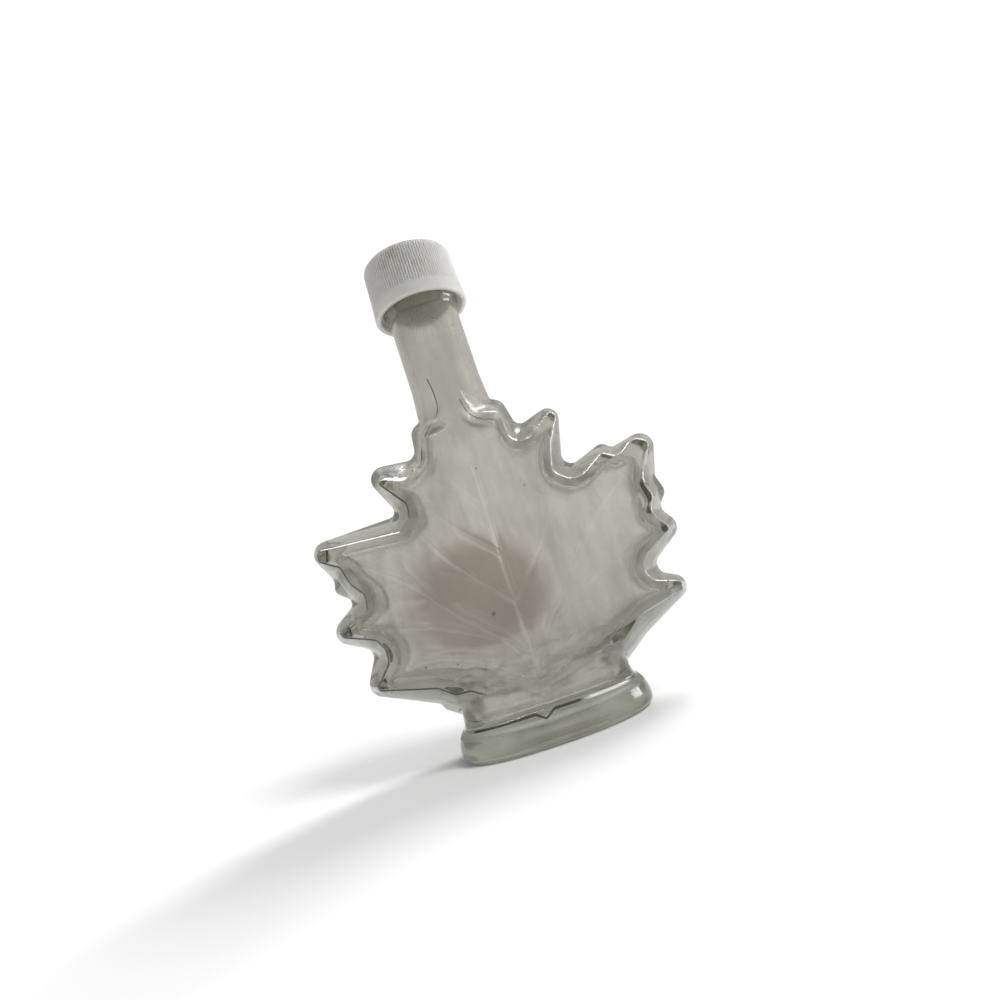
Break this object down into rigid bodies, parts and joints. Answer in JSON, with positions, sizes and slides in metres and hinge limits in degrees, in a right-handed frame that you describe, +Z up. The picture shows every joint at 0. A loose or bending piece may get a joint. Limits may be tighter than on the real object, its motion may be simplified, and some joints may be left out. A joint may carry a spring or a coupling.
{
  "type": "leaf-shaped glass bottle with screw cap",
  "caption": "Empty clear glass bottle with a maple-leaf-shaped hollow body, a long round neck, a flared oval foot and a ribbed white plastic screw cap.",
  "frame": {"origin": "middle of the foot's underside, on the surface the bottle stands on", "axes": "+Z up along the neck, +X to the right of the front leaf face, which looks along -Y"},
  "size_m": [0.109, 0.0408, 0.1515],
  "materials": {
    "clear_glass": "smooth moulded clear glass with a faint grey-green tint, slightly cloudy inside, with a few dark specks",
    "white_plastic": "white moulded plastic, fine upright ribs above a smooth band, a little grime between the ribs"
  },
  "bodies": {
    "root": {"leaf_bottle_glass": "clear_glass", "screw_cap": "white_plastic"}
  },
  "joints": []
}
